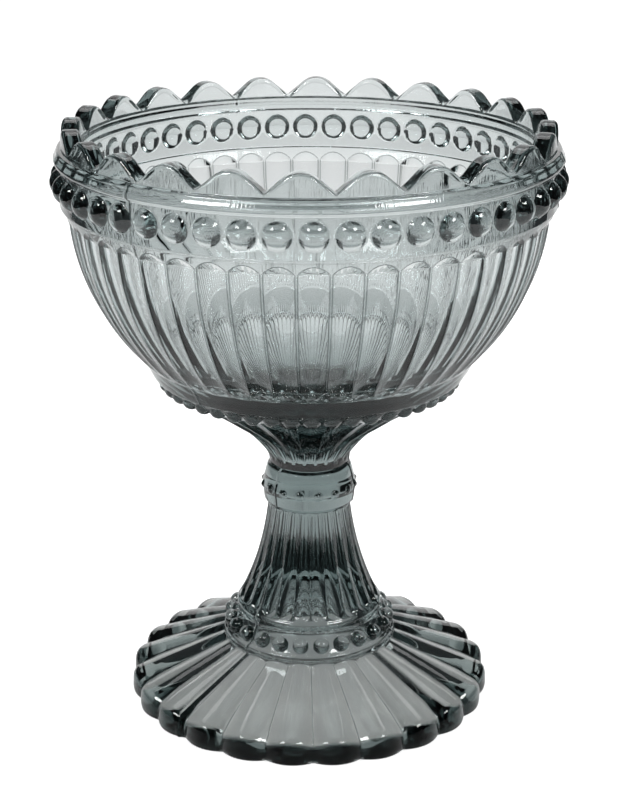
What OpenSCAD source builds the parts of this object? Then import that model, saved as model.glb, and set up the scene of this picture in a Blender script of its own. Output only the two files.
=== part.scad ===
// Footed pressed-glass bowl with a scalloped rim, bead bands and fluted sides.
// The bowl and the foot are two pressings that meet face to face on top of the collar.
// Millimetres, +Z up, origin at the centre of the face that the foot rests on.

/* [Foot] */
// Radius of the foot over its lobes
foot_r = 48; // [44:0.5:52]
// Number of lobes, of stem flutes and of beads on the foot's ring
foot_count = 24; // [18:1:26]
// Height of the foot's upright edge
edge_h = 5; // [4:0.5:7]
// Rise of the lobed top from the upright edge to the bead ring
foot_rise = 11; // [9:0.5:14]
// How far a lobe's outline bulges past its notches
lobe_bulge = 1.65; // [1:0.05:2]
// How high a lobe's crown stands over the upright edge
lobe_crown = 1.5; // [1:0.1:2]
// Bevel along the top of the upright edge
edge_bevel = 1.1; // [0.6:0.1:1.5]
// Width of the flat face that the foot rests on, inside the notches
rest_w = 3.4; // [2:0.2:6]
// Thickness of the foot under its lobes
foot_wall = 4.8; // [4:0.1:6]

/* [Bead ring] */
// Height of the ring that carries the foot's beads
ring_h = 8.2; // [7:0.1:10]
// Radius of the ring where it meets the lobes
ring_r = 22.8; // [22:0.1:24]
// Height of the plain lip at the foot of the ring
ring_lip_h = 2; // [1:0.1:2.6]
// Radius of a ring bead
ring_bead_r = 2; // [1.8:0.05:2.4]

/* [Stem] */
// Height of the fluted stem
stem_h = 29.5; // [26:0.5:40]
// Radius at the foot of the stem
stem_foot_r = 19; // [18:0.1:20]
// Radius at the top of the stem
stem_top_r = 10.8; // [10:0.1:11.4]
// How far the stem's outline bows inwards
stem_bow = 1.25; // [0.8:0.05:1.8]
// Radius of the hollow of a stem flute
stem_flute_r = 3.4; // [3:0.1:4.5]
// Radius of its hollow at the top, where it is narrower
stem_flute_top_r = 2.2; // [1.8:0.1:2.6]
// Height of the hollow inside the foot, above the resting face
hollow_h = 33; // [26:0.5:36]
// Radius of that hollow at the level of the beads
hollow_r = 12.5; // [9:0.5:14]

/* [Collar] */
// Height of the collar under the bowl
collar_h = 10.8; // [9.5:0.1:14]
// Radius of the collar
collar_r = 12; // [11.8:0.1:13]
// Height of the collar's rounded shoulder
shoulder_h = 3.2; // [2:0.1:3.6]
// Radius of a pointed bead
point_r = 1.1; // [0.8:0.1:1.3]
// How far the pointed beads stand proud of the collar
point_out = 0.6; // [0.5:0.1:1.4]
// Number of pointed beads
point_count = 16; // [10:1:20]

/* [Bowl's underside] */
// Radius of the neck where the bowl sits on the collar
neck_r = 10.4; // [9.8:0.1:10.8]
// Height of the flaring throat
throat_h = 11; // [10:0.2:13]
// Radius at the top of the throat
throat_r = 18.4; // [17.5:0.1:20]
// How far the throat's outline bows inwards
throat_bow = 1.3; // [1:0.05:1.6]
// Height from the throat to the lower beads
cone_h = 11.4; // [9:0.2:14]
// Radius at the lower beads
under_r = 35.4; // [33:0.1:37]
// Number of flutes under the bowl
under_count = 24; // [18:1:28]
// Depth of a flute under the bowl
under_depth = 1.2; // [0.8:0.1:1.5]
// Width of the ridge between two flutes under the bowl
under_ridge = 0.8; // [0.6:0.1:1.2]

/* [Lower rings] */
// Height of the lower bead band
under_band_h = 3.5; // [3:0.1:5]
// Radius of a lower bead
under_bead_r = 2.4; // [2:0.05:2.4]
// How far a lower bead stands proud
under_bead_out = 1; // [0.6:0.1:1.3]
// Radius of the plain ring at its lower edge
plain_r = 40.2; // [39:0.1:41]
// Height of the plain ring
plain_h = 5.2; // [4:0.1:7]

/* [Fluted wall] */
// Radius of the wall at the foot of the flutes
wall_foot_r = 43.1; // [42:0.1:45]
// Height of the fluted wall
wall_h = 36; // [32:0.5:42]
// How far the top of the fluted wall lies inside the bead band
step_in = 1.9; // [1.4:0.1:2.6]
// How far the wall's outline bulges outwards
wall_bow = 3.55; // [2.5:0.05:4.5]
// Depth of a wall flute
wall_depth = 0.85; // [0.5:0.05:1.1]
// Width of the ridge between two wall flutes
wall_ridge = 0.8; // [0.5:0.1:1.2]
// Number of wall flutes, of band beads and of lower beads
bowl_count = 48; // [36:1:50]

/* [Bead band] */
// Height of the step from the flutes out to the bead band
step_h = 3.6; // [3:0.1:5]
// Radius of the bead band
band_r = 62.3; // [60:0.1:64]
// Height of the bead band
band_h = 10; // [9.4:0.1:13]
// Height of the beads' middle above the band's lower edge
bead_rise = 5.7; // [5:0.1:6]
// Radius of a band bead
bead_r = 3.9; // [3.5:0.05:4]
// How far a band bead stands proud of the band
bead_out = 2.3; // [1.8:0.1:2.4]

/* [Rim] */
// How far the lip moulding stands out over the bead band
lip_out = 1.1; // [0.8:0.1:1.4]
// Height of the lip moulding
lip_h = 4.7; // [4:0.1:6]
// How far the rim lies inside the bead band
rim_in = 0.8; // [0.5:0.1:1.2]
// Thickness of the rim
rim_wall = 4.6; // [3.5:0.1:5]
// Height of a scallop
scallop_h = 5.1; // [3.5:0.1:6]
// Number of scallops
scallop_count = 24; // [18:1:28]
// Radius of a scallop's round top
scallop_r = 6; // [5.2:0.1:6.6]

/* [Inside of the bowl] */
// Depth of the inside's lowest point below the lower beads
floor_down = 2; // [-1:0.1:4]
// Radius where the wall turns into the floor
floor_r = 40; // [36:0.5:41]
// Rise of the floor from its middle to that turn
floor_rise = 16; // [14:0.1:17]
// How far the floor bows downwards
floor_bow = 3.7; // [2.5:0.1:4]
// How far the inside of the wall bulges outwards
inner_bow = 5.7; // [4.5:0.1:6.5]

/* [Hidden] */
$fn = 96;

glass = [0.62, 0.68, 0.69];
// Turns of the scallops, of the bowl's pattern and of the foot's pattern, in degrees
scallop_turn = -1.9;
bowl_turn = 1;
foot_turn = 8.8;
point_turn = 11.2;
// Overrun of a cut past the surface that it cuts
over = 1;
// Ridge left between two flutes of the stem
fine_ridge = 0.35;
// Length of a flute's rounded end, and how far the hollow rises out of the glass there
nose_l = 2;
nose_rise = 1.2;
// How far the ridge round the collar stands proud
collar_ridge = 0.35;
// Height and width of the cove under the collar
cove = 0.9;
// Depth of the slanted lip at the foot of the bead ring
ring_lip_in = 0.8;
// Blunt tip of a pointed bead, and how deep its foot is set
point_tip = 0.15;
point_set = 0.6;
// How far the collar's shoulder bulges outwards
shoulder_bow = 0.4;
// How far the hollow in the foot bows inwards at the lobes, and outwards at its top
hollow_bow = 1.5;
dome_bow = 2;
// Height of the lip moulding's upright face, and of the slant under it
lip_face = 1.1;
lip_slant = 0.7;
// How far a ridge's ends keep clear of the corners, and how deep its plate is rooted
ridge_clear = 0.1;
ridge_root = 1.1;
// Width of the groove between the lip moulding and the scallops
lip_groove = 0.4;
// Height of the valleys between the scallops above that groove
valley_up = 0.2;
// How much of a scallop's round top the flat top edge takes off
crest_flat = 0.1;
// Where a flute starts and ends, in shares of the outline that it follows
stem_flute_shares = [0.06, 0.94];

wall_top_r = band_r - step_in;
lip_r = band_r + lip_out;
rim_r = band_r - rim_in;

ring_z = edge_h + foot_rise;
stem_z = ring_z + ring_h;
collar_z = stem_z + stem_h;
neck_z = collar_z + collar_h;
throat_z = neck_z + throat_h;
under_z = throat_z + cone_h;
plain_z = under_z + under_band_h;
wall_z = plain_z + plain_h;
step_z = wall_z + wall_h;
band_z = step_z + step_h;
lip_z = band_z + band_h;
rim_z = lip_z + lip_h;
top_z = rim_z + scallop_h;

neck_end = [neck_r, neck_z];
throat_end = [throat_r, throat_z];
under_end = [under_r, under_z];
wall_foot = [wall_foot_r, wall_z];
wall_top = [wall_top_r, step_z];
wall_in = [wall_depth, 0];
stem_foot = [stem_foot_r, stem_z];
stem_top = [stem_top_r, collar_z];

// An outline from p to q that bows by b to the left of the way, in the plane of radius and height
function left_of(p, q) = [p.y - q.y, q.x - p.x] / norm(q - p);
function bow_radius(p, q, b) = (pow(norm(q - p), 2) / 4 + b * b) / (2 * abs(b));
function bow_centre(p, q, b) = (p + q) / 2 + left_of(p, q) * (b - sign(b) * bow_radius(p, q, b));
function angle_of(v) = atan2(v.y, v.x);
function half_turn(a) = a > 180 ? a - 360 : a < -180 ? a + 360 : a;
function on_circle(c, r, a) = c + r * [cos(a), sin(a)];
function bow_point(p, q, b, share) = b == 0 ? p + share * (q - p) :
    let (c = bow_centre(p, q, b))
    let (start = angle_of(p - c), sweep = half_turn(angle_of(q - c) - start))
    on_circle(c, bow_radius(p, q, b), start + share * sweep);
function bow_out(p, q, b, share) = b == 0 ? -left_of(p, q) :
    let (v = bow_point(p, q, b, share) - bow_centre(p, q, b))
    -sign(b) * v / norm(v);

// Depth of a round hollow of radius r where it is w wide
function sink(w, r) = r - sqrt(r * r - w * w / 4);
// Floor of a flute with a hollow of radius r, under the outline from p to q that bows by b
function flute_floor(p, q, b, share, count, ridge, r) =
    let (on = bow_point(p, q, b, share))
    on - bow_out(p, q, b, share) * sink(2 * PI * on.x / count - ridge, r);

// Copies round the axis: turn is where the first one lies, to the right of the front
module around(count, turn) {
    for (i = [0:count - 1]) rotate([0, 0, turn - 90 + i * 360 / count]) children();
}

// Area between the straight line from p to q and the outline that bows by b
module bulge(p, q, b) {
    out = left_of(p, q) * (b + sign(b) * over);
    intersection() {
        translate(bow_centre(p, q, b)) circle(bow_radius(p, q, b), $fn = 3 * $fn);
        polygon([p, q, q + out, p + out]);
    }
}

module at(p, lean = 0) {
    translate([p.x, 0, p.y]) rotate([0, lean, 0]) children();
}

// Half a lobe's angle, the distance of its notches and the radius of its outline
lobe_half = 180 / foot_count;
notch_x = foot_r - lobe_bulge;
notch_y = notch_x * tan(lobe_half);
lobe_r = (notch_y * notch_y + lobe_bulge * lobe_bulge) / (2 * lobe_bulge);
// Slope of the foot's top
crest_slope = (foot_rise - lobe_crown) / (foot_r - ring_r);
crest_z = ring_z + ring_r * crest_slope;

// Round cutter of a flute whose hollow has radius ra at its foot and rb at its top
module flute_cutter(p, q, b, shares, count, ridge, ra, rb) {
    span = shares[1] - shares[0];
    low = flute_floor(p, q, b, shares[0], count, ridge, ra);
    high = flute_floor(p, q, b, shares[1], count, ridge, rb);
    mid_r = (ra + rb) / 2 + b * span * span;
    mid = flute_floor(p, q, b, (shares[0] + shares[1]) / 2, count, ridge, mid_r);
    out = -left_of(low, high);
    from = low + out * ra;
    to = high + out * rb;
    way = to - from;
    bow = (low + high) / 2 * out - mid * out;
    low_end = [ra, 0];
    high_end = [rb, norm(way)];
    at(from, atan2(way.x, way.y))
        rotate_extrude() {
            polygon([[0, -nose_l], [ra - nose_rise, -nose_l], low_end, high_end,
                [rb - nose_rise, high_end.y + nose_l], [0, high_end.y + nose_l]]);
            bulge(low_end, high_end, -bow);
        }
}

// Foot plate: a lobed outline under a turned top
module plate() {
    edge_z = edge_h + lobe_crown;
    intersection() {
        linear_extrude(ring_z) union() {
            circle(foot_r - lobe_r);
            around(foot_count, foot_turn) translate([foot_r - lobe_r, 0]) circle(lobe_r);
        }
        rotate_extrude() polygon([[0, 0], [foot_r + over, 0], [foot_r + over, edge_z - edge_bevel - over],
            [foot_r - edge_bevel, edge_z], [ring_r, ring_z], [0, ring_z]]);
    }
}

module foot_core() {
    shoulder = [collar_r, neck_z - shoulder_h];
    rotate_extrude() difference() {
        union() {
            polygon([[0, 0], [ring_r, 0], [ring_r, ring_z],
                [ring_r - ring_lip_in, ring_z + ring_lip_h], stem_foot, stem_top,
                [collar_r, collar_z + cove], [collar_r + collar_ridge, collar_z + collar_h / 2],
                shoulder, neck_end, [0, neck_z]]);
            bulge(shoulder, neck_end, -shoulder_bow);
        }
        bulge(stem_foot, stem_top, stem_bow);
    }
}

// Height of the inside of the foot at a distance from the axis
function under_lobes(x) = crest_z - crest_slope * x - foot_wall - lobe_crown;

module foot_hollow() {
    rest_in = notch_x - rest_w;
    lobes_in = [ring_r, under_lobes(ring_r)];
    beads_in = [hollow_r, stem_z - ring_h / 2];
    top = [0, hollow_h];
    rotate_extrude() difference() {
        union() {
            polygon([[0, -over], [rest_in, -over], [rest_in, under_lobes(rest_in)],
                lobes_in, beads_in, top]);
            bulge(beads_in, top, -dome_bow);
        }
        bulge(lobes_in, beads_in, hollow_bow);
    }
}

module stem_flute() {
    flute_cutter(stem_foot, stem_top, stem_bow, stem_flute_shares, foot_count, fine_ridge,
        stem_flute_r, stem_flute_top_r);
}

module ring_bead() {
    lip = [ring_r - ring_lip_in, ring_z + ring_lip_h];
    at((lip + stem_foot) / 2) sphere(ring_bead_r);
}

module collar_point() {
    at([collar_r - point_set, collar_z + collar_h / 2], 90)
        cylinder(h = point_set + collar_ridge + point_out, r1 = point_r, r2 = point_tip);
}

module foot() {
    color(glass) {
        difference() {
            union() {
                foot_core();
                plate();
                around(foot_count, foot_turn) ring_bead();
                around(point_count, point_turn) collar_point();
            }
            foot_hollow();
            around(foot_count, foot_turn) stem_flute();
        }
    }
}

module bowl_outside() {
    under_in = left_of(throat_end, under_end) * under_depth;
    rotate_extrude() difference() {
        union() {
            polygon([[0, neck_z], neck_end, throat_end, throat_end + under_in, under_end + under_in,
                under_end, [plain_r, plain_z], wall_foot, wall_foot - wall_in, wall_top - wall_in,
                wall_top, [band_r, band_z], [band_r, lip_z], [lip_r, lip_z + lip_slant],
                [lip_r, lip_z + lip_slant + lip_face], [rim_r + lip_groove, rim_z],
                [rim_r, top_z], [0, top_z]]);
            bulge(wall_foot - wall_in, wall_top - wall_in, -wall_bow);
        }
        bulge(neck_end, throat_end, throat_bow);
    }
}

module bowl_inside() {
    bottom = [0, under_z - floor_down];
    turn = bottom + [floor_r, floor_rise];
    rim_foot = [rim_r - rim_wall, lip_z];
    rotate_extrude() {
        polygon([bottom, turn, rim_foot, [rim_foot.x, top_z + over], [0, top_z + over]]);
        bulge(bottom, turn, -floor_bow);
        bulge(turn, rim_foot, -inner_bow);
    }
}

// Ridge between two flutes: a plate whose edge runs from p to q and bows by b
module ridge(p, q, b, w) {
    way = (q - p) / norm(q - p);
    inwards = left_of(p, q);
    low = p + (way + inwards) * ridge_clear;
    high = q + (inwards - way) * ridge_clear;
    rotate([90, 0, 0])
        translate([0, 0, -w / 2])
            linear_extrude(w) {
                polygon([low, low + (inwards * 2 - way) * ridge_root,
                    high + (inwards * 2 + way) * ridge_root, high]);
                if (b < 0) bulge(low, high, b);
            }
}

module under_bead() {
    middle = (under_end + [plain_r, plain_z]) / 2;
    inwards = left_of(under_end, [plain_r, plain_z]);
    at(middle + inwards * (under_bead_r - under_bead_out)) sphere(under_bead_r);
}

module band_bead() {
    at([band_r + bead_out - bead_r, band_z + bead_rise]) sphere(bead_r);
}

// Cuts the valley between two scallops, from the top of one round crest to the next
module valley() {
    half_w = PI * rim_r / scallop_count;
    clear_w = PI * (rim_r - rim_wall) / scallop_count;
    crest = [half_w, scallop_h - valley_up - scallop_r + crest_flat];
    rise = angle_of(crest) + asin(scallop_r / norm(crest));
    touch = on_circle([0, 0], sqrt(crest * crest - scallop_r * scallop_r), rise);
    translate([rim_r - rim_wall - over, 0, rim_z + valley_up])
        rotate([90, 0, 90])
            linear_extrude(rim_wall + lip_groove + 2 * over) difference() {
                polygon([[0, 0], touch, [clear_w, crest.y], [clear_w, scallop_h + over],
                    [-clear_w, scallop_h + over], [-clear_w, crest.y], [-touch.x, touch.y]]);
                for (side = [-1, 1]) translate([side * crest.x, crest.y]) circle(scallop_r);
            }
}

module bowl() {
    color(glass) {
        difference() {
            union() {
                bowl_outside();
                around(bowl_count, bowl_turn) band_bead();
                around(bowl_count, bowl_turn) under_bead();
                around(bowl_count, bowl_turn + 180 / bowl_count)
                    ridge(wall_foot, wall_top, -wall_bow, wall_ridge);
                around(under_count, bowl_turn + 180 / under_count)
                    ridge(throat_end, under_end, 0, under_ridge);
            }
            bowl_inside();
            around(scallop_count, scallop_turn + 180 / scallop_count) valley();
        }
    }
}

bowl();
foot();
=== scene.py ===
import math

import bpy
import numpy as np
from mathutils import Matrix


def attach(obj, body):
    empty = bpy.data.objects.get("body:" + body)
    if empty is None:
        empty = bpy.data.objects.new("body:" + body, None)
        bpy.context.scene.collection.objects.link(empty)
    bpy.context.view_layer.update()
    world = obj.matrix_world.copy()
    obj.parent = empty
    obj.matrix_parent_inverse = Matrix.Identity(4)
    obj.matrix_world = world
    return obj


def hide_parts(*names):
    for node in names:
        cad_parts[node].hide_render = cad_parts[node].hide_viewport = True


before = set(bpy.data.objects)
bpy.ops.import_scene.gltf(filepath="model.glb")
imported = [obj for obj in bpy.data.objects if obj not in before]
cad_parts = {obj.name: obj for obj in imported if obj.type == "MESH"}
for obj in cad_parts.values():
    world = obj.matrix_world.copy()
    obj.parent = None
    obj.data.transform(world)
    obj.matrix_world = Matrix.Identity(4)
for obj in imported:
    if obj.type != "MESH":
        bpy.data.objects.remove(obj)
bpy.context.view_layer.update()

MM = 0.001
TAU = 2 * math.pi

# The photograph's frame and camera
IMAGE_W = 618
IMAGE_H = 800
FOCAL_PX = 1941.5
CENTRE_X_PX = 309.12
SENSOR_MM = 36.0
CAMERA_BACK = 0.4770
CAMERA_UP = 0.2491
CAMERA_DOWN_DEG = 19.41


def make_camera():
    data = bpy.data.cameras.new("camera")
    data.sensor_fit = "VERTICAL"
    data.sensor_height = SENSOR_MM
    data.lens = FOCAL_PX * SENSOR_MM / IMAGE_H
    data.shift_x = (IMAGE_W / 2 - CENTRE_X_PX) / IMAGE_H
    data.clip_start = 0.01
    data.clip_end = 20
    cam = bpy.data.objects.new("camera", data)
    cam.location = (0, -CAMERA_BACK, CAMERA_UP)
    cam.rotation_euler = (math.radians(90 - CAMERA_DOWN_DEG), 0, 0)
    bpy.context.scene.collection.objects.link(cam)
    bpy.context.scene.camera = cam


make_camera()

# Sizes in millimetres, as in the solids. Each profile is a row of (r, z) points, and the constants here
# are the sizes that more than one line needs or that shape the relief on a profile.
NECK_Z = 64.5
JOINT_R = 9.95
JOINT_EDGE_R = 9.9
JOINT_GAP = 0.01

FOOT_R = 48.0
FOOT_COUNT = 24
LOBE_START_R = 23.0
LOBE_END_R = 46.3
LOBE_TOP = 11.0
LOBE_CROWN = 1.5
LOBE_BULGE = 1.65
BULGE_START_R = 40.0
VALLEY_DEPTH = 1.75
VALLEY_ROUND_FROM = 0.88
VALLEY_ROUNDING = 8.3
CROWN_START_Z = 0.6
CROWN_RISE = 5.5
REST_OUT_R = 47.1
REST_IN_R = 43.9
RING_Z = 16.0
RING_R = 22.8
RING_BEAD_R = 2.0
RING_BEAD_AT = (20.9, 20.3)
RING_BEAD_OUT = 0.5
STEM_Z = 25.9
STEM_R = 18.65
STEM_TOP_Z = 53.3
STEM_TOP_R = 10.8
STEM_BOW = 1.25
STEM_FLUTE_SHARE = 0.93
STEM_FLUTE_R = 2.3
STEM_FLUTE_GROWTH = 1.5
STEM_FLUTE_START_ROUND = 0.035
STEM_FLUTE_END = 0.93
STEM_FLUTE_END_ROUND = 0.06
RIDGE_Z = 58.6
POINT_COUNT = 16
POINT_R = 1.35
POINT_OUT = 0.5

BOWL_COUNT = 48
UNDER_COUNT = 24
UNDER_START_Z = 66.2
UNDER_END = (35.6, 86.9)
UNDER_FLUTE_SHARE = 0.94
UNDER_FLUTE_DEPTH = 0.35
UNDER_FLUTE_GROWTH = 1.35
UNDER_FLUTE_START_ROUND = 0.12
UNDER_FLUTE_END = 0.93
UNDER_FLUTE_END_ROUND = 0.075
SMALL_BEAD_R = 2.4
SMALL_BEAD_AT = (37.75, 88.35)
SMALL_BEAD_SUNK = 1.15
WALL_START = (43.1, 95.3)
WALL_END = (60.3, 131.4)
WALL_BOW = 3.5
FLUTE_R = 7.4
FLUTE_GAP = 0.4
FLUTE_KNEE_Z = 131.6
FLUTE_TOP = (61.2, 133.7)
FLUTE_FOOT_Z = 97.8
FLUTE_FOOT_H = 2.2
FLUTE_FOOT_LIFT = 0.75
BAND_R = 62.3
BAND_LOW_Z = 135.5
BAND_TOP_Z = 145.2
BEAD_R = 3.88
BEAD_AT = (60.7, 140.95)
RIM_LOW_Z = 149.45
RIM_Z = 149.9
RIM_R = 61.5
RIM_WALL = 4.6
RIM_ROUND = 1.2
RIM_LIFT = 0.15
SCALLOPS = 24
SCALLOP_CREST_R = 6.0
SCALLOP_RISE = 4.9
SCALLOP_SOFT = 0.3
INSIDE_KNEE = (40.5, 99.6)
INSIDE_WALL_BOW = 5.9
INSIDE_LOW = (0.8, 84.4)
INSIDE_LOW_BOW = 4.0

# Turns of the patterns, in degrees to the right of the front
SCALLOP_TURN = -1.9
BOWL_TURN = 1.0
FOOT_TURN = 8.8
POINT_TURN = 11.2
BOWL_SEAM = -41.0
FOOT_SEAM = -46.0
SEAM_COUNT = 3
SEAM_H = 0.22
SEAM_W = 0.5

# Columns of points per repeat of the pattern
COLS_PER_LOBE = 40
COLS_PER_FLUTE = 26

# Painted shade: how dark the glass colour is made where inner reflections keep the light out: 0 clear, 1
# darkest
EDGE_DARK = 1.0
HOLLOW_DARK = 0.6
PLAIN_DARK = 0.55
DARK_EDGE_R = 46.9
DARK_EDGE_FADE = 0.7
DARK_HOLLOW_Z = 9
DARK_HOLLOW_FADE = 6
# Where the painted dark lines of the lobe and flute creases lie
LOBE_LINE = 0.99
FLUTE_LINE = 0.06


def line(p, q, n):
    """n points from p towards q, without q."""
    t = np.arange(n)[:, None] / n
    return np.asarray(p, float) * (1 - t) + np.asarray(q, float) * t


def arc(p, q, bow, n):
    """n points from p towards q on an arc that bows to the left of the way, without q."""
    p = np.asarray(p, float)
    q = np.asarray(q, float)
    d = q - p
    length = np.hypot(*d)
    left = np.array([-d[1], d[0]]) / length
    r = (length ** 2 / 4 + bow ** 2) / (2 * abs(bow))
    c = (p + q) / 2 + left * (bow - math.copysign(r, bow))
    a0 = math.atan2(*(p - c)[::-1])
    a1 = math.atan2(*(q - c)[::-1])
    turn = (a1 - a0 + math.pi) % TAU - math.pi
    a = a0 + turn * np.arange(n) / n
    return c + r * np.stack([np.cos(a), np.sin(a)], axis=1)


def smooth(points, n):
    """n points, without the last one, on a smooth curve through a few (r, z) points."""
    p = np.asarray(points, float)
    k = len(p)
    t = np.concatenate([[0], np.cumsum(np.hypot(*np.diff(p, axis=0).T))])
    m = np.zeros_like(p)
    h = np.diff(t)[:, None]
    slope = np.diff(p, axis=0) / h
    m[0] = slope[0]
    m[-1] = slope[-1]
    for i in range(1, k - 1):
        m[i] = (slope[i - 1] * h[i] + slope[i] * h[i - 1]) / (h[i - 1] + h[i])
    out = []
    for s in np.linspace(0, t[-1], n, endpoint=False):
        i = min(int(np.searchsorted(t, s, side="right")) - 1, k - 2)
        w = h[i, 0]
        u = (s - t[i]) / w
        out.append((2 * u ** 3 - 3 * u ** 2 + 1) * p[i] + (u ** 3 - 2 * u ** 2 + u) * w * m[i]
                   + (3 * u ** 2 - 2 * u ** 3) * p[i + 1] + (u ** 3 - u ** 2) * w * m[i + 1])
    return np.array(out)


def across(theta, count, turn):
    """Angle from the middle of the nearest of count copies, in radians."""
    pitch = TAU / count
    a = theta - math.radians(turn)
    return (a + pitch / 2) % pitch - pitch / 2


def normals(rows):
    """Normals of a profile, to the right of the way: outwards on the way up."""
    d = np.gradient(rows, axis=0)
    d /= np.maximum(np.hypot(d[:, 0], d[:, 1]), 1e-9)[:, None]
    return np.stack([d[:, 1], -d[:, 0]], axis=1)


def ease(x):
    """0 up to x = 0, 1 from x = 1 on, and smooth between them."""
    x = np.clip(x, 0, 1)
    return x * x * (3 - 2 * x)


def round_end(x):
    """Width of a flute that ends in a quarter circle: full up to x = 0, nothing from x = 1 on."""
    return np.sqrt(np.clip(1 - np.clip(x, 0, 1) ** 2, 0, 1))


def seam(theta, r, turn):
    """Height of the thin lines that the joints of a three-part mould leave."""
    away = np.abs(across(theta, SEAM_COUNT, turn))[None, :] * r
    return SEAM_H * np.clip(1 - away / SEAM_W, 0, 1)


def mesh_from_grid(name, r, z, theta, painted_shade):
    """A closed skin: rows of points round the axis, closed by a point at each end."""
    rows, cols = r.shape
    x = r * np.sin(theta)
    y = -r * np.cos(theta)
    grid = np.stack([x, y, z], axis=2).reshape(-1, 3) * MM
    ends = np.array([[0, 0, z[0].mean()], [0, 0, z[-1].mean()]]) * MM
    verts = np.vstack([grid, ends])
    j = np.arange(cols)
    jn = (j + 1) % cols
    i = np.arange(rows - 1)[:, None] * cols
    quads = np.stack([i + j, i + jn, i + cols + jn, i + cols + j], axis=2).reshape(-1, 4)
    first = rows * cols
    last = first + 1
    base = (rows - 1) * cols
    low = np.stack([np.full(cols, first), jn, j], axis=1)
    high = np.stack([np.full(cols, last), base + j, base + jn], axis=1)
    loops = np.concatenate([quads.ravel(), low.ravel(), high.ravel()])
    sizes = np.concatenate([np.full(len(quads), 4), np.full(2 * cols, 3)])
    starts = np.concatenate([[0], np.cumsum(sizes)[:-1]])
    me = bpy.data.meshes.new(name)
    me.vertices.add(len(verts))
    me.vertices.foreach_set("co", verts.ravel())
    me.loops.add(len(loops))
    me.loops.foreach_set("vertex_index", loops.astype(np.int32))
    me.polygons.add(len(sizes))
    me.polygons.foreach_set("loop_start", starts.astype(np.int32))
    me.polygons.foreach_set("loop_total", sizes.astype(np.int32))
    me.polygons.foreach_set("use_smooth", np.ones(len(sizes), bool))
    me.update()
    me.validate()
    # The painted shade mask is stored on the points as an attribute for the glass material
    shade_layer = me.attributes.new("painted_shade", "FLOAT", "POINT")
    shade_layer.data.foreach_set("value", np.concatenate([painted_shade.ravel(), [0, 0]]))
    ob = bpy.data.objects.new(name, me)
    bpy.context.scene.collection.objects.link(ob)
    return ob


# The foot: from the middle of its joint face down the outside, under the foot and up into the hollow
CREST_SLOPE = (LOBE_TOP - LOBE_CROWN) / (FOOT_R - RING_R)
CREST_Z = RING_Z + RING_R * CREST_SLOPE
FOOT_COLS = FOOT_COUNT * COLS_PER_LOBE


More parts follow.
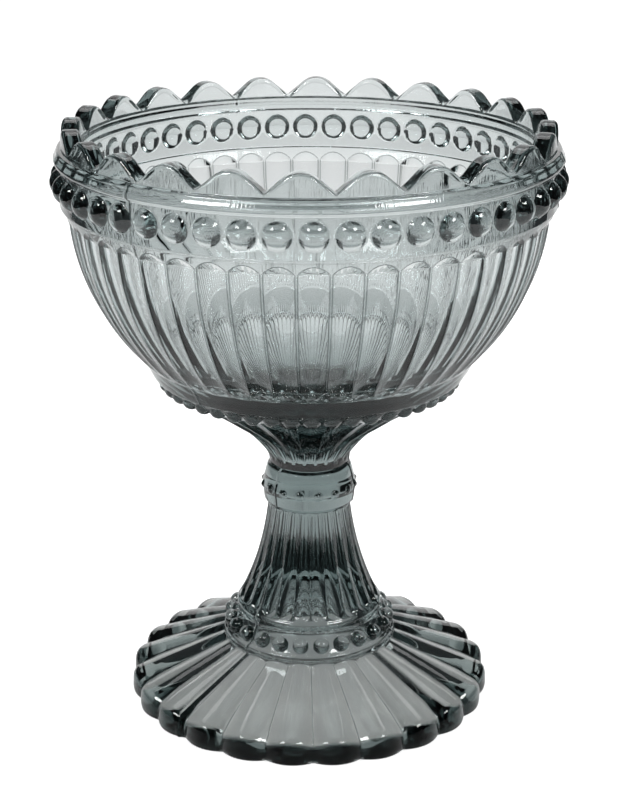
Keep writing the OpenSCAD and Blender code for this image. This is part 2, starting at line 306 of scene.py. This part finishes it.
def make_foot():
    theta = math.radians(FOOT_TURN) + np.arange(FOOT_COLS) * TAU / FOOT_COLS
    joint_z = NECK_Z - JOINT_GAP
    parts = []
    tags = []

    def add(tag, rows):
        parts.append(rows)
        tags.extend([tag] * len(rows))

    add("joint", line([1.0, joint_z], [JOINT_EDGE_R, joint_z], 8))
    add("collar", smooth([[JOINT_EDGE_R, joint_z], [10.3, 64.38], [10.7, 64.1], [11.05, 63.6],
                          [11.35, 62.7], [11.65, 61.4], [11.9, 60.4], [12.15, 59.5], [12.35, 58.6],
                          [12.15, 57.3], [12.0, 55.6], [11.75, 54.4], [11.1, 53.75],
                          [STEM_TOP_R, STEM_TOP_Z]], 58))
    add("stem", arc([STEM_TOP_R, STEM_TOP_Z], [STEM_R, STEM_Z], -STEM_BOW, 96))
    add("ring", smooth([[STEM_R, STEM_Z], [19.05, 25.5], [19.3, 25.0], [19.25, 24.4], [19.1, 23.8],
                        [19.1, 23.1], [19.95, 21.3], [21.35, 18.75], [21.75, 18.3], [22.3, 18.2],
                        [22.75, 17.9], [22.95, 17.3], [22.95, 16.3]], 76))
    end_z = CREST_Z - CREST_SLOPE * LOBE_END_R
    add("lobe", line([LOBE_START_R, CREST_Z - CREST_SLOPE * LOBE_START_R], [LOBE_END_R, end_z], 52))
    add("edge", smooth([[LOBE_END_R, end_z], [47.1, end_z - 0.6], [47.65, end_z - 1.35],
                        [47.95, end_z - 2.5], [FOOT_R, end_z - 3.4], [FOOT_R, 1.3], [47.75, 0.4],
                        [REST_OUT_R, 0]], 40))
    add("rest", line([REST_OUT_R, 0], [REST_IN_R, 0], 8))
    add("hollow", smooth([[REST_IN_R, 0], [42.6, 0.35], [39.0, 1.75], [34.0, 3.9], [28.0, 6.6],
                          [23.2, 9.3], [19.2, 12.3], [15.9, 15.4], [12.7, 19.2], [9.8, 23.6],
                          [7.0, 28.0], [3.8, 31.6], [1.2, 32.6]], 76))
    base = np.vstack(parts)
    tags = np.array(tags)
    n = -normals(base)
    r = np.repeat(base[:, :1], FOOT_COLS, axis=1)
    z = np.repeat(base[:, 1:], FOOT_COLS, axis=1)
    a = across(theta, FOOT_COUNT, FOOT_TURN)[None, :]
    half = TAU / FOOT_COUNT / 2
    u = a / half

    # Lobes: a rounded outline, and a crown that grows with the distance from the axis
    outline = np.isin(tags, ["lobe", "edge", "rest"])[:, None]
    share = np.clip(base[:, 0] / FOOT_R, 0, 1)[:, None]
    bulge = -LOBE_BULGE * u ** 2
    outer = ease((base[:, :1] - BULGE_START_R) / (FOOT_R - BULGE_START_R))
    r += np.where(outline, bulge * outer, 0)
    valley = u ** 2 - VALLEY_ROUNDING * np.maximum(np.abs(u) - VALLEY_ROUND_FROM, 0) ** 2
    crown = -VALLEY_DEPTH * valley * share
    z_low = ease((z - CROWN_START_Z) / CROWN_RISE)
    z += np.where(np.isin(tags, ["lobe", "edge"])[:, None], crown * z_low, 0)

    # Stem flutes: hollows with narrow ridges between them
    stem = tags == "stem"
    s = (STEM_TOP_Z - base[:, 1]) / (STEM_TOP_Z - STEM_Z)
    width = 2 * base[:, 0] * math.sin(half)
    hollow_r = STEM_FLUTE_R + STEM_FLUTE_GROWTH * s
    half_chord = width / 2 * STEM_FLUTE_SHARE
    depth0 = hollow_r - np.sqrt(np.maximum(hollow_r ** 2 - half_chord ** 2, 0.01))
    end = STEM_FLUTE_SHARE * round_end((s - STEM_FLUTE_END) / STEM_FLUTE_END_ROUND)
    start = round_end((STEM_FLUTE_START_ROUND - s) / STEM_FLUTE_START_ROUND)
    reach = (end * start)[:, None]
    uu = np.abs(u) / np.maximum(reach, 0.02)
    cut = np.where(uu < 1, 1 - uu ** 2, 0) * reach ** 0.5
    disp = np.where(stem[:, None], -depth0[:, None] * cut, 0)

    # Beads on the ring
    bead = tags == "ring"
    along2 = (base[:, 0] - RING_BEAD_AT[0]) ** 2 + (base[:, 1] - RING_BEAD_AT[1]) ** 2
    along2 = np.maximum(along2 - RING_BEAD_OUT ** 2, 0)
    rho2 = along2[:, None] + (base[:, :1] * a) ** 2
    dome = np.sqrt(np.maximum(RING_BEAD_R ** 2 - rho2, 0)) + RING_BEAD_OUT
    ball = np.where(rho2 < RING_BEAD_R ** 2, dome, 0)
    disp = np.where(bead[:, None], np.maximum(disp, ball), disp)

    # Pointed beads on the collar's ridge
    collar = tags == "collar"
    pa = across(theta, POINT_COUNT, POINT_TURN)[None, :]
    rho = np.sqrt((base[:, 0:1] * pa) ** 2 + (base[:, 1:2] - RIDGE_Z) ** 2)
    point = POINT_OUT * ease(1 - rho / POINT_R)
    disp = np.where(collar[:, None], disp + point, disp)

    sides = np.isin(tags, ["collar", "stem", "ring", "lobe", "edge"])
    disp = disp + np.where(sides[:, None], seam(theta, base[:, :1], FOOT_SEAM), 0)
    r += n[:, :1] * disp
    z += n[:, 1:] * disp
    z = np.maximum(z, 0)
    # Painted shade, where the glass looks dark: the creases between lobes, the upright edge and the top of the
    # hollow
    edge_line = np.isin(tags, ["lobe", "edge"])[:, None] * (np.abs(u) > LOBE_LINE)
    upright = (tags == "edge")[:, None] * ease((base[:, :1] - DARK_EDGE_R) / DARK_EDGE_FADE) * EDGE_DARK
    hollow = (tags == "hollow")[:, None] * ease((base[:, 1:] - DARK_HOLLOW_Z) / DARK_HOLLOW_FADE) * HOLLOW_DARK
    painted_shade = np.clip(edge_line + upright + hollow, 0, 1)
    return mesh_from_grid("foot_glass", r[::-1], z[::-1], theta, painted_shade[::-1])


# The bowl: from the middle of its joint face up the outside, over the rim and down the inside
BOWL_COLS = BOWL_COUNT * COLS_PER_FLUTE


def make_bowl():
    theta = math.radians(BOWL_TURN) + np.arange(BOWL_COLS) * TAU / BOWL_COLS
    joint_z = NECK_Z + JOINT_GAP
    parts = []
    tags = []

    def add(tag, rows):
        parts.append(rows)
        tags.extend([tag] * len(rows))

    add("joint", line([1.0, joint_z], [JOINT_EDGE_R, joint_z], 8))
    add("under", smooth([[JOINT_EDGE_R, joint_z], [10.15, 64.65], [10.35, 64.95], [10.5, 65.5], [10.6, 66.3],
                         [11.35, 68], [12.8, 70], [16.5, 74], [21.9, 78], [27.6, 82], [33.4, 85.7],
                         UNDER_END], 88))
    add("under_band", smooth([UNDER_END, [37.0, 87.7], [38.6, 88.9], [39.7, 90.1]], 22))
    add("plain", smooth([[39.7, 90.1], [40.3, 90.35], [40.9, 91.3], [42.0, 93.4], WALL_START], 18))
    add("wall", arc(WALL_START, WALL_END, -WALL_BOW, 78))
    add("step", smooth([WALL_END, [60.75, 132.5], [61.15, 133.6], [61.45, 134.5], [61.55, 134.85],
                        [61.75, 135.05], [62.15, 135.15], [BAND_R, 135.35]], 44))
    add("band", line([BAND_R, BAND_LOW_Z], [BAND_R, BAND_TOP_Z], 60))
    add("lip", smooth([[BAND_R, BAND_TOP_Z], [62.7, 145.6], [63.2, 145.95], [63.45, 146.5], [63.45, 147.1],
                       [63.15, 147.7], [62.85, 148.2], [62.7, 148.7], [62.3, 149.15], [61.75, 149.35],
                       [RIM_R, RIM_LOW_Z]], 40))
    # Rim rows: the second number is 0 to 1 up a side, 1 to 2 round an edge and 2 on top
    rim_in_r = RIM_R - RIM_WALL
    phi = np.linspace(0, math.pi / 2, 9)[1:]
    turned = RIM_ROUND * (1 - np.cos(phi))
    rim_rows = np.vstack([
        line([RIM_R, 0.0], [RIM_R, 1.0], 14),
        [[RIM_R, 1.0]],
        np.stack([RIM_R - turned, 1 + np.sin(phi)], axis=1),
        line([RIM_R - RIM_ROUND - 0.2, 2.0], [rim_in_r + RIM_ROUND, 2.0], 5),
        np.stack([rim_in_r + turned, 1 + np.sin(phi)], axis=1)[::-1],
        line([rim_in_r, 1.0], [rim_in_r, 0.0], 14)])
    add("rim", rim_rows)
    add("inside", line([rim_in_r, RIM_LOW_Z], [rim_in_r, BAND_TOP_Z], 8))
    add("inside", arc([rim_in_r, BAND_TOP_Z], INSIDE_KNEE, INSIDE_WALL_BOW, 70))
    add("inside", arc(INSIDE_KNEE, INSIDE_LOW, INSIDE_LOW_BOW, 56))
    base = np.vstack(parts)
    tags = np.array(tags)
    n = normals(base)
    r = np.repeat(base[:, :1], BOWL_COLS, axis=1)
    z = np.repeat(base[:, 1:], BOWL_COLS, axis=1)

    # Flutes under the bowl
    under = tags == "under"
    a = across(theta, UNDER_COUNT, BOWL_TURN)[None, :]
    half = math.pi / UNDER_COUNT
    s = (base[:, 1] - UNDER_START_Z) / (UNDER_END[1] - UNDER_START_Z)
    reach = round_end((UNDER_FLUTE_START_ROUND - s) / UNDER_FLUTE_START_ROUND)
    reach = np.where(s < 0, 0, reach) * UNDER_FLUTE_SHARE
    reach = reach * round_end((s - UNDER_FLUTE_END) / UNDER_FLUTE_END_ROUND)
    depth = UNDER_FLUTE_DEPTH + UNDER_FLUTE_GROWTH * np.clip(s, 0, 1)
    uu = np.abs(a / half) / np.maximum(reach[:, None], 0.02)
    cut = np.where(uu < 1, 1 - uu ** 2, 0) * reach[:, None] ** 0.5
    disp = np.where(under[:, None], -depth[:, None] * cut, 0)

    # Small beads below the plain ring
    a48 = across(theta, BOWL_COUNT, BOWL_TURN)[None, :]
    band = (tags == "under_band") | (tags == "plain")
    along2 = (base[:, 0] - SMALL_BEAD_AT[0]) ** 2 + (base[:, 1] - SMALL_BEAD_AT[1]) ** 2
    rho2 = along2[:, None] + (base[:, :1] * a48) ** 2
    ball = np.sqrt(np.maximum(SMALL_BEAD_R ** 2 - rho2, 0)) - SMALL_BEAD_SUNK
    small = (tags == "under_band")[:, None]
    disp = np.where(small, np.maximum(disp, np.maximum(ball, 0)), disp)
    # Painted shade on the plain ring and round the small beads
    dark = (tags == "plain")[:, None] | (small & (ball < 0))

    disp = disp + np.where(under[:, None] | band[:, None], seam(theta, base[:, :1], BOWL_SEAM), 0)
    r += n[:, :1] * disp
    z += n[:, 1:] * disp

    # Wall flutes: the glass left under a round cutter, with a rounded end above and below
    wall = (tags == "wall") | (tags == "step")
    zb = base[:, 1]
    w = TAU * base[:, 0] / BOWL_COUNT
    depth = FLUTE_R - np.sqrt(FLUTE_R ** 2 - ((w - FLUTE_GAP) / 2) ** 2)
    floor = base[:, 0] - depth
    knee = np.interp(FLUTE_KNEE_Z, zb[wall], floor[wall])
    lean = (FLUTE_TOP[0] - knee) / (FLUTE_TOP[1] - FLUTE_KNEE_Z)
    floor = np.where(zb > FLUTE_KNEE_Z, knee + (zb - FLUTE_KNEE_Z) * lean, floor)
    foot_lift = np.clip((FLUTE_FOOT_Z - zb) / FLUTE_FOOT_H, 0, 1.2)
    floor = floor + FLUTE_FOOT_LIFT * foot_lift ** 2
    lateral = base[:, :1] * a48
    cutter = floor[:, None] + FLUTE_R - np.sqrt(np.maximum(FLUTE_R ** 2 - lateral ** 2, 0.01))
    # Painted shade: dark lines along the edges of the wall flutes, and the plain ring darkened
    painted_shade = wall[:, None] * (np.abs(cutter - r) < FLUTE_LINE).astype(float) + dark * PLAIN_DARK
    r = np.where(wall[:, None], np.minimum(r, cutter), r)

    # Beads of the band
    bead = tags == "band"
    rho2 = (zb[:, None] - BEAD_AT[1]) ** 2 + (BAND_R * a48) ** 2
    ball = BEAD_AT[0] + np.sqrt(np.maximum(BEAD_R ** 2 - rho2, 0))
    r = np.where(bead[:, None], np.maximum(r, ball), r)

    sides = np.isin(tags, ["wall", "step", "band", "lip"])
    r += np.where(sides[:, None], seam(theta, base[:, :1], BOWL_SEAM), 0)

    # Scalloped rim
    rim = tags == "rim"
    pitch = TAU / SCALLOPS
    v = np.abs(across(theta, SCALLOPS, SCALLOP_TURN)) / (pitch / 2)
    half_w = math.pi * RIM_R / SCALLOPS
    x = v * half_w
    down = SCALLOP_RISE - SCALLOP_CREST_R
    reach_to = math.hypot(half_w, down)
    lean = math.atan2(down, half_w) + math.asin(SCALLOP_CREST_R / reach_to)
    touch = math.sqrt(reach_to ** 2 - SCALLOP_CREST_R ** 2)
    touch_x = half_w - touch * math.cos(lean)
    round_h = down + np.sqrt(np.maximum(SCALLOP_CREST_R ** 2 - x ** 2, 0))
    slope_h = (half_w - x) * math.tan(lean)
    height = np.where(x < touch_x, round_h, slope_h)
    height = (height + np.sqrt(height ** 2 + SCALLOP_SOFT ** 2)) / 2
    top = RIM_Z + RIM_LIFT + height - (height.max() - SCALLOP_RISE)
    edge = np.minimum(RIM_ROUND, 0.5 * (top - RIM_LOW_Z))[None, :]
    share = base[:, 1:2]
    rim_z = (RIM_LOW_Z + np.minimum(share, 1) * (top[None, :] - edge - RIM_LOW_Z)
             + np.maximum(share - 1, 0) * edge)
    z = np.where(rim[:, None], rim_z, z)
    return mesh_from_grid("bowl_glass", r, z, theta, painted_shade)


bowl = make_bowl()
foot = make_foot()


# Sockets of a Mix node set to colours
MIX_FACTOR = 0
MIX_LOW = 6
MIX_HIGH = 7
MIX_RESULT = 2

# The glass. Lengths in materials are in metres, and scales and densities are per metre.
IOR = 1.52
GLASS_ROUGHNESS = 0.01
WHITE = (1, 1, 1, 1)
ABSORB_COLOUR = (0.33, 0.42, 0.42, 1)
ABSORB_DENSITY = 103
TINT_SCALE = 14
TINT_LOW = (0.95, 0.96, 0.96, 1)
TINT_HIGH = (0.97, 0.98, 0.98, 1)
FOOT_COLOUR = (1.0, 0.965, 0.95, 1)
FOOT_TOP = 0.012
FOOT_FADE = 0.006
SHADE_COLOUR = (0.16, 0.18, 0.18, 1)
SHADE_REFLECTION_TINT = (0.15, 0.15, 0.15, 1)
WAVE_SCALE = 90
WAVE_STRENGTH = 0.25
WAVE_DEPTH = 0.0002
RIPPLES_ROUND = 96
RIPPLES_UP = 120
RIPPLE_DEPTH = 0.00007
RIPPLE_LOW = 0.112
RIPPLE_FADE = 0.01
PATCH_SCALE = 45
PATCH_FROM = 0.45
PATCH_TO = 0.62


def add_node(nt, kind, inputs=None):
    """A node whose inputs are each given a value or linked to another node's socket."""
    node = nt.nodes.new("ShaderNode" + kind)
    for key, value in (inputs or {}).items():
        if isinstance(value, bpy.types.NodeSocket):
            nt.links.new(value, node.inputs[key])
        else:
            node.inputs[key].default_value = value
    return node


def math_node(nt, operation, a, b):
    node = add_node(nt, "Math", {0: a, 1: b})
    node.operation = operation
    return node.outputs[0]


def ramp_node(nt, value, start, end):
    """0 up to start, 1 from end on, and a straight slope between them."""
    return add_node(nt, "MapRange", {"Value": value, "From Min": start, "From Max": end}).outputs["Result"]


def colour_mix(nt, factor, low, high):
    """The colour low where factor is 0, and high where it is 1."""
    node = nt.nodes.new("ShaderNodeMix")
    node.data_type = "RGBA"
    for slot, value in ((MIX_FACTOR, factor), (MIX_LOW, low), (MIX_HIGH, high)):
        if isinstance(value, bpy.types.NodeSocket):
            nt.links.new(value, node.inputs[slot])
        else:
            node.inputs[slot].default_value = value
    return node.outputs[MIX_RESULT]


def empty_material(name):
    mat = bpy.data.materials.new(name)
    mat.use_nodes = True
    nt = mat.node_tree
    nt.nodes.clear()
    return mat, nt, nt.nodes.new("ShaderNodeOutputMaterial")


def smoky_inside(nt, out):
    """The grey of the glass grows with the way that light takes through it."""
    vol = add_node(nt, "VolumeAbsorption", {"Color": ABSORB_COLOUR, "Density": ABSORB_DENSITY})
    nt.links.new(vol.outputs[0], out.inputs["Volume"])


def glass_material(name):
    """Pressed glass: clear, slightly uneven, and with painted shade: darker colour and dimmer reflections
    where the shade attribute says so.
    """
    mat, nt, out = empty_material(name)
    place = add_node(nt, "TexCoord").outputs["Object"]
    xyz = add_node(nt, "SeparateXYZ", {0: place})

    # Fine upright ripples that the mould left in patches of the wall
    turn = math_node(nt, "ARCTAN2", xyz.outputs["X"], xyz.outputs["Y"])
    unrolled = add_node(nt, "CombineXYZ", {
        "X": math_node(nt, "MULTIPLY", turn, RIPPLES_ROUND),
        "Y": math_node(nt, "MULTIPLY", xyz.outputs["Z"], RIPPLES_UP)})
    ripple = add_node(nt, "TexNoise", {"Vector": unrolled.outputs[0], "Scale": 1, "Detail": 1})
    patch = add_node(nt, "TexNoise", {"Vector": place, "Scale": PATCH_SCALE})
    in_patch = ramp_node(nt, patch.outputs["Fac"], PATCH_FROM, PATCH_TO)
    up_wall = ramp_node(nt, xyz.outputs["Z"], RIPPLE_LOW, RIPPLE_LOW + RIPPLE_FADE)
    share = math_node(nt, "MULTIPLY", up_wall, in_patch)
    fine = add_node(nt, "Bump", {
        "Height": math_node(nt, "MULTIPLY", ripple.outputs["Fac"], share),
        "Strength": 1, "Distance": RIPPLE_DEPTH})

    # The slight unevenness of the whole surface
    wave = add_node(nt, "TexNoise", {"Vector": place, "Scale": WAVE_SCALE, "Detail": 2})
    bump = add_node(nt, "Bump", {
        "Height": wave.outputs["Fac"], "Strength": WAVE_STRENGTH, "Distance": WAVE_DEPTH,
        "Normal": fine.outputs["Normal"]})

    # Colour: a soft change from place to place, more neutral in the foot, and painted shade (a dark colour and
    # a dim reflection tint) where the shade attribute says so
    tint = add_node(nt, "TexNoise", {"Vector": place, "Scale": TINT_SCALE})
    ramp = add_node(nt, "ValToRGB", {"Fac": tint.outputs["Fac"]})
    ramp.color_ramp.elements[0].color = TINT_LOW
    ramp.color_ramp.elements[1].color = TINT_HIGH
    above_foot = ramp_node(nt, xyz.outputs["Z"], FOOT_TOP, FOOT_TOP + FOOT_FADE)
    colour = colour_mix(nt, above_foot, FOOT_COLOUR, ramp.outputs["Color"])
    painted_shade = nt.nodes.new("ShaderNodeAttribute")
    painted_shade.attribute_name = "painted_shade"
    bsdf = add_node(nt, "BsdfPrincipled", {
        "Base Color": colour_mix(nt, painted_shade.outputs["Fac"], colour, SHADE_COLOUR),
        "Specular Tint": colour_mix(nt, painted_shade.outputs["Fac"], WHITE, SHADE_REFLECTION_TINT),
        "Transmission Weight": 1, "IOR": IOR, "Roughness": GLASS_ROUGHNESS,
        "Normal": bump.outputs["Normal"]})
    nt.links.new(bsdf.outputs[0], out.inputs["Surface"])
    smoky_inside(nt, out)
    return mat


def joint_material(name):
    """Where the two pressings are fused, light goes straight through."""
    mat, nt, out = empty_material(name)
    nt.links.new(add_node(nt, "BsdfTransparent").outputs[0], out.inputs["Surface"])
    smoky_inside(nt, out)
    return mat


JOINT_FACE_TOL = 0.00005
glass = glass_material("smoky_glass")
joint = joint_material("fused_joint")
for piece, node in ((bowl, "bowl"), (foot, "foot")):
    piece.data.materials.append(glass)
    piece.data.materials.append(joint)
    for poly in piece.data.polygons:
        c = poly.center
        if abs(c.z - NECK_Z * MM) < JOINT_FACE_TOL and math.hypot(c.x, c.y) < JOINT_R * MM:
            poly.material_index = 1
    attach(piece, "root")
    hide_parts(node)


def stage_material(name, colour, near_light, far_light, direct_light):
    """A pale matt surface whose own light grows with the distance from the object; a dimmer glow near the
    object is painted shade round it.

    Camera, glossy and transmission rays see that light, and camera rays see direct_light on top of it.
    """
    mat, nt, out = empty_material(name)
    diff = add_node(nt, "BsdfDiffuse", {"Color": (colour, colour, colour, 1)})
    path = add_node(nt, "LightPath")
    seen = math_node(nt, "MAXIMUM", path.outputs["Is Camera Ray"], path.outputs["Is Glossy Ray"])
    seen = math_node(nt, "MAXIMUM", seen, path.outputs["Is Transmission Ray"])
    away = add_node(nt, "VectorMath", {0: add_node(nt, "TexCoord").outputs["Object"]})
    away.operation = "LENGTH"
    fade = add_node(nt, "MapRange", {
        "Value": away.outputs["Value"], "From Min": NEAR_R, "From Max": FAR_R,
        "To Min": near_light, "To Max": far_light})
    fade.interpolation_type = "SMOOTHSTEP"
    own = math_node(nt, "MULTIPLY", seen, fade.outputs["Result"])
    direct = math_node(nt, "MULTIPLY", path.outputs["Is Camera Ray"], direct_light)
    glow = add_node(nt, "Emission", {"Strength": math_node(nt, "ADD", own, direct)})
    both = add_node(nt, "AddShader", {0: diff.outputs[0], 1: glow.outputs[0]})
    nt.links.new(both.outputs[0], out.inputs["Surface"])
    return mat


def plane(name, corners, mat):
    me = bpy.data.meshes.new(name)
    me.from_pydata(corners, [], [(0, 1, 2, 3)])
    ob = bpy.data.objects.new(name, me)
    ob.data.materials.append(mat)
    bpy.context.scene.collection.objects.link(ob)


# The stage, in metres. The floor lies a hair under the glass, so that there is air between them.
FLOOR_HALF = 0.42
FLOOR_Z = -0.00005
BACK_Y = 0.8
FRONT_Y = -0.9
WALL_TOP = 1.6
NEAR_R = 0.05
FAR_R = 0.3
# The floor's dimmer own light near the object is painted shade round the object
floor_mat = stage_material("floor_white", 0.75, 0.25, 0.42, 0.5)
back_mat = stage_material("backdrop_white", 0.1, 1.0, 1.0, 0)
front_left = (-FLOOR_HALF, FRONT_Y, FLOOR_Z)
front_right = (FLOOR_HALF, FRONT_Y, FLOOR_Z)
back_left = (-FLOOR_HALF, BACK_Y, FLOOR_Z)
back_right = (FLOOR_HALF, BACK_Y, FLOOR_Z)
top_left = (-FLOOR_HALF, BACK_Y, WALL_TOP)
top_right = (FLOOR_HALF, BACK_Y, WALL_TOP)
plane("floor", [front_left, front_right, back_right, back_left], floor_mat)
plane("backdrop", [back_left, back_right, top_right, top_left], back_mat)

LAMP_TARGET = (0, 0, 0.09)


def softbox(name, azimuth, elevation, distance, size, power):
    """A lamp towards azimuth, in degrees to the right of the front, and elevation, turned to the bowl."""
    data = bpy.data.lights.new(name, "AREA")
    data.shape = "RECTANGLE"
    data.size = size[0]
    data.size_y = size[1]
    data.energy = power
    ob = bpy.data.objects.new(name, data)
    a = math.radians(azimuth)
    e = math.radians(elevation)
    way = np.array([math.sin(a) * math.cos(e), -math.cos(a) * math.cos(e), math.sin(e)])
    ob.location = np.array(LAMP_TARGET) + way * distance
    ob.rotation_euler = (math.radians(90) - e, 0, a)
    bpy.context.scene.collection.objects.link(ob)


softbox("softbox_left", -50, 45, 1.2, (0.45, 0.3), 8.3)
softbox("softbox_right", 50, 45, 1.2, (0.45, 0.3), 8.3)
softbox("softbox_over", 180, 65, 1.3, (1.2, 0.6), 5.5)

WORLD_COLOUR = (0.9, 0.95, 1.0, 1)
WORLD_STRENGTH = 0.05
world = bpy.data.worlds.new("world")
bpy.context.scene.world = world
world.use_nodes = True
back = world.node_tree.nodes["Background"]
back.inputs["Color"].default_value = WORLD_COLOUR
back.inputs["Strength"].default_value = WORLD_STRENGTH

bpy.context.scene.view_settings.view_transform = "Standard"
